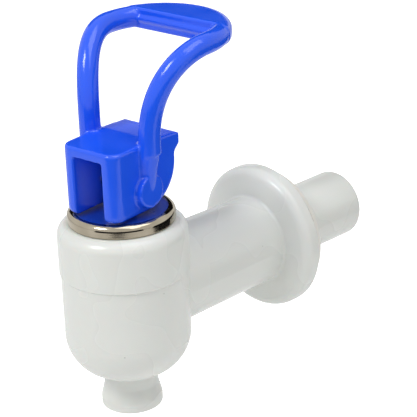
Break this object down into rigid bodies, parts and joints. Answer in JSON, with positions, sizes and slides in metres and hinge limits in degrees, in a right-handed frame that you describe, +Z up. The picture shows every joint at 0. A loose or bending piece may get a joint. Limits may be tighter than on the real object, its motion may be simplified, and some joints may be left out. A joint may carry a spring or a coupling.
{
  "type": "bag in box tap",
  "caption": "Self-closing plastic tap: upright barrel, inlet tube with flange and spigot, and a tilting loop lever that lifts a sprung stem off its seat.",
  "frame": {"origin": "on the inlet spigot's axis, in the plane of the container's wall, which is the washer's rear face", "axes": "+Y along the spigot into the container, +Z up along the barrel, +X to the right seen from the front"},
  "size_m": [0.0401, 0.097, 0.098],
  "materials": {
    "white_plastic": "moulded white polypropylene, satin",
    "blue_plastic": "moulded blue plastic, glossy",
    "dark_blue_plastic": "moulded dark blue plastic",
    "silicone": "milky silicone rubber",
    "nickel_plate": "bright nickel-plated metal",
    "steel": "stainless steel"
  },
  "bodies": {
    "tap_body": {"valve_body": "white_plastic", "flange_washer": "silicone", "bonnet": "dark_blue_plastic", "trim_ring": "nickel_plate", "seat_cup": "silicone"},
    "spring_group": {"return_spring": "steel"},
    "plunger": {"stem": "blue_plastic", "cross_pin": "steel"},
    "lever": {"handle": "blue_plastic"}
  },
  "joints": [
    {"name": "lever_swivel", "type": "hinge", "parent": "tap_body", "child": "spring_group", "pos_m": [0, -0.0545, 0], "axis": [0, 0, 1], "continuous": true},
    {"name": "stem_lift", "type": "slide", "parent": "spring_group", "child": "plunger", "axis": [0, 0, 1], "range_m": [0, 0.0018], "stiffness_N_per_m": 800, "springref_m": -0.008, "deforming": ["return_spring", "seat_cup"]},
    {"name": "lever_tilt", "type": "hinge", "parent": "plunger", "child": "lever", "pos_m": [0, -0.0545, 0.0305], "axis": [-0.9945, -0.1045, 0], "range_deg": [0, 50]}
  ],
  "couplings": [
    {"joint": "lever_tilt", "follows": "stem_lift", "rad_per_m": 484.77}
  ]
}
